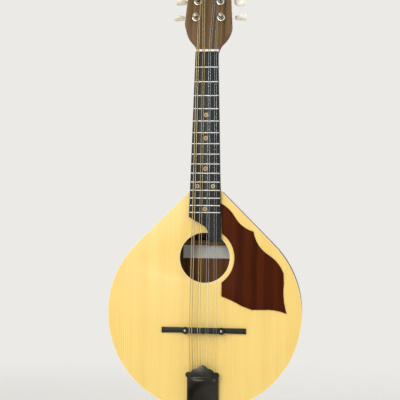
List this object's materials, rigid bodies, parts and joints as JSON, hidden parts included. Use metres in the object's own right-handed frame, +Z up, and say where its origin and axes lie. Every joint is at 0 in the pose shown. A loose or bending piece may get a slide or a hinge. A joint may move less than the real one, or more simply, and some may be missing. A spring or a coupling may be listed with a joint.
{
  "type": "mandolin",
  "caption": "Flat-backed plucked instrument with a round body, round sound hole, fretted neck, floating bridge, tailpiece and open geared tuning machines.",
  "frame": {"origin": "in the head's wood just above the nut, on the centre plane, where a wall hanger's yoke takes the head's flare", "axes": "+X to the treble side, +Y from the soundboard to the back, +Z up the neck; the instrument hangs upright"},
  "size_m": [0.246, 0.0693, 0.6002],
  "materials": {
    "spruce_top": "golden varnish over straight-grained spruce",
    "spruce_inside": "bare spruce",
    "mahogany_back": "satin varnish over striped brown wood",
    "mahogany_ribs": "satin varnish over striped brown wood",
    "mahogany_neck": "satin varnish over brown wood",
    "walnut": "satin varnish over streaked walnut",
    "rosewood": "semi-gloss dark red-brown wood",
    "ebony": "oiled black wood",
    "ebony_bridge": "oiled black wood",
    "ebony_pin": "polished black wood",
    "bone": "cream bone, polished",
    "nickel": "bright nickel plate",
    "black_nickel": "glossy black nickel plate",
    "post_steel": "plated steel",
    "cream_button": "cream celluloid button on a plated steel worm",
    "wound_string": "bronze winding on a steel core",
    "plain_string": "plain steel wire"
  },
  "bodies": {
    "mandolin": {"soundboard": "spruce_top", "top_lining_bass": "spruce_inside", "top_lining_treble": "spruce_inside", "back_lining_bass": "spruce_inside", "back_lining_treble": "spruce_inside", "neck_block": "spruce_inside", "tail_block": "spruce_inside", "top_brace_upper": "spruce_inside", "top_brace_lower": "spruce_inside", "back_brace_upper": "spruce_inside", "back_brace_lower": "spruce_inside", "back_plate": "mahogany_back", "rib_bass": "mahogany_ribs", "rib_treble": "mahogany_ribs", "neck": "mahogany_neck", "headstock_overlay": "walnut", "pickguard": "rosewood", "fretboard": "ebony", "nut": "bone", "end_pin": "ebony_pin", "tailpiece_base": "nickel", "tuner_plate_bass": "nickel", "tuner_plate_treble": "nickel", "bushing_bass_1": "nickel", "bushing_bass_2": "nickel", "bushing_bass_3": "nickel", "bushing_bass_4": "nickel", "bushing_treble_1": "nickel", "bushing_treble_2": "nickel", "bushing_treble_3": "nickel", "bushing_treble_4": "nickel", "string_g_outer": "wound_string", "string_g_inner": "wound_string", "string_d_outer": "wound_string", "string_d_inner": "wound_string", "string_a_outer": "plain_string", "string_a_inner": "plain_string", "string_e_outer": "plain_string", "string_e_inner": "plain_string"},
    "bridge": {"bridge_base": "ebony_bridge"},
    "saddle": {"bridge_saddle": "ebony_bridge"},
    "wheel_bass": {"thumbwheel_bass": "nickel"},
    "wheel_treble": {"thumbwheel_treble": "nickel"},
    "tail_cover": {"tailpiece_cover": "black_nickel"},
    "key_bass_1": {"tuner_key_bass_1": "cream_button"},
    "post_bass_1": {"string_post_bass_1": "post_steel"},
    "key_bass_2": {"tuner_key_bass_2": "cream_button"},
    "post_bass_2": {"string_post_bass_2": "post_steel"},
    "key_bass_3": {"tuner_key_bass_3": "cream_button"},
    "post_bass_3": {"string_post_bass_3": "post_steel"},
    "key_bass_4": {"tuner_key_bass_4": "cream_button"},
    "post_bass_4": {"string_post_bass_4": "post_steel"},
    "key_treble_1": {"tuner_key_treble_1": "cream_button"},
    "post_treble_1": {"string_post_treble_1": "post_steel"},
    "key_treble_2": {"tuner_key_treble_2": "cream_button"},
    "post_treble_2": {"string_post_treble_2": "post_steel"},
    "key_treble_3": {"tuner_key_treble_3": "cream_button"},
    "post_treble_3": {"string_post_treble_3": "post_steel"},
    "key_treble_4": {"tuner_key_treble_4": "cream_button"},
    "post_treble_4": {"string_post_treble_4": "post_steel"}
  },
  "joints": [
    {"name": "bridge_shift", "type": "slide", "parent": "mandolin", "child": "bridge", "axis": [0, 0, 1], "range_m": [-0.004, 0.004], "deforming": ["string_g_outer", "string_g_inner", "string_d_outer", "string_d_inner", "string_a_outer", "string_a_inner", "string_e_outer", "string_e_inner"]},
    {"name": "saddle_lift", "type": "slide", "parent": "bridge", "child": "saddle", "axis": [0, -1, 0], "range_m": [-0.0005, 0.002], "deforming": ["string_g_outer", "string_g_inner", "string_d_outer", "string_d_inner", "string_a_outer", "string_a_inner", "string_e_outer", "string_e_inner"]},
    {"name": "wheel_bass_turn", "type": "hinge", "parent": "saddle", "child": "wheel_bass", "pos_m": [-0.0228, -0.01685, -0.3676], "axis": [0, -1, 0], "range_deg": [-228, 908]},
    {"name": "wheel_treble_turn", "type": "hinge", "parent": "saddle", "child": "wheel_treble", "pos_m": [0.0228, -0.01685, -0.3676], "axis": [0, -1, 0], "range_deg": [-228, 908]},
    {"name": "cover_slide", "type": "slide", "parent": "mandolin", "child": "tail_cover", "axis": [0, 0, 1], "range_m": [0, 0.008]},
    {"name": "key_bass_1_turn", "type": "hinge", "parent": "mandolin", "child": "key_bass_1", "pos_m": [-0.01561, 0.02006, 0.0344], "axis": [-0.9973, 0.019, 0.0707], "continuous": true},
    {"name": "post_bass_1_turn", "type": "hinge", "parent": "mandolin", "child": "post_bass_1", "pos_m": [-0.0162, -0.00055, 0.03167], "axis": [0, -0.9659, 0.2588], "continuous": true},
    {"name": "key_bass_2_turn", "type": "hinge", "parent": "mandolin", "child": "key_bass_2", "pos_m": [-0.01393, 0.02599, 0.05656], "axis": [-0.9973, 0.019, 0.0707], "continuous": true},
    {"name": "post_bass_2_turn", "type": "hinge", "parent": "mandolin", "child": "post_bass_2", "pos_m": [-0.01452, 0.00538, 0.05382], "axis": [0, -0.9659, 0.2588], "continuous": true},
    {"name": "key_bass_3_turn", "type": "hinge", "parent": "mandolin", "child": "key_bass_3", "pos_m": [-0.01225, 0.03193, 0.07872], "axis": [-0.9973, 0.019, 0.0707], "continuous": true},
    {"name": "post_bass_3_turn", "type": "hinge", "parent": "mandolin", "child": "post_bass_3", "pos_m": [-0.01283, 0.01132, 0.07598], "axis": [0, -0.9659, 0.2588], "continuous": true},
    {"name": "key_bass_4_turn", "type": "hinge", "parent": "mandolin", "child": "key_bass_4", "pos_m": [-0.01056, 0.03787, 0.10087], "axis": [-0.9973, 0.019, 0.0707], "continuous": true},
    {"name": "post_bass_4_turn", "type": "hinge", "parent": "mandolin", "child": "post_bass_4", "pos_m": [-0.01115, 0.01726, 0.09814], "axis": [0, -0.9659, 0.2588], "continuous": true},
    {"name": "key_treble_1_turn", "type": "hinge", "parent": "mandolin", "child": "key_treble_1", "pos_m": [0.01561, 0.02006, 0.0344], "axis": [0.9973, 0.019, 0.0707], "continuous": true},
    {"name": "post_treble_1_turn", "type": "hinge", "parent": "mandolin", "child": "post_treble_1", "pos_m": [0.0162, -0.00055, 0.03167], "axis": [0, -0.9659, 0.2588], "continuous": true},
    {"name": "key_treble_2_turn", "type": "hinge", "parent": "mandolin", "child": "key_treble_2", "pos_m": [0.01393, 0.02599, 0.05656], "axis": [0.9973, 0.019, 0.0707], "continuous": true},
    {"name": "post_treble_2_turn", "type": "hinge", "parent": "mandolin", "child": "post_treble_2", "pos_m": [0.01452, 0.00538, 0.05382], "axis": [0, -0.9659, 0.2588], "continuous": true},
    {"name": "key_treble_3_turn", "type": "hinge", "parent": "mandolin", "child": "key_treble_3", "pos_m": [0.01225, 0.03193, 0.07872], "axis": [0.9973, 0.019, 0.0707], "continuous": true},
    {"name": "post_treble_3_turn", "type": "hinge", "parent": "mandolin", "child": "post_treble_3", "pos_m": [0.01283, 0.01132, 0.07598], "axis": [0, -0.9659, 0.2588], "continuous": true},
    {"name": "key_treble_4_turn", "type": "hinge", "parent": "mandolin", "child": "key_treble_4", "pos_m": [0.01056, 0.03787, 0.10087], "axis": [0.9973, 0.019, 0.0707], "continuous": true},
    {"name": "post_treble_4_turn", "type": "hinge", "parent": "mandolin", "child": "post_treble_4", "pos_m": [0.01115, 0.01726, 0.09814], "axis": [0, -0.9659, 0.2588], "continuous": true}
  ],
  "couplings": [
    {"joint": "wheel_bass_turn", "follows": "saddle_lift", "rad_per_m": 7913.3},
    {"joint": "wheel_treble_turn", "follows": "saddle_lift", "rad_per_m": 7913.3},
    {"joint": "post_bass_1_turn", "follows": "key_bass_1_turn", "ratio": -0.071429},
    {"joint": "post_bass_2_turn", "follows": "key_bass_2_turn", "ratio": -0.071429},
    {"joint": "post_bass_3_turn", "follows": "key_bass_3_turn", "ratio": -0.071429},
    {"joint": "post_bass_4_turn", "follows": "key_bass_4_turn", "ratio": -0.071429},
    {"joint": "post_treble_1_turn", "follows": "key_treble_1_turn", "ratio": 0.071429},
    {"joint": "post_treble_2_turn", "follows": "key_treble_2_turn", "ratio": 0.071429},
    {"joint": "post_treble_3_turn", "follows": "key_treble_3_turn", "ratio": 0.071429},
    {"joint": "post_treble_4_turn", "follows": "key_treble_4_turn", "ratio": 0.071429}
  ]
}
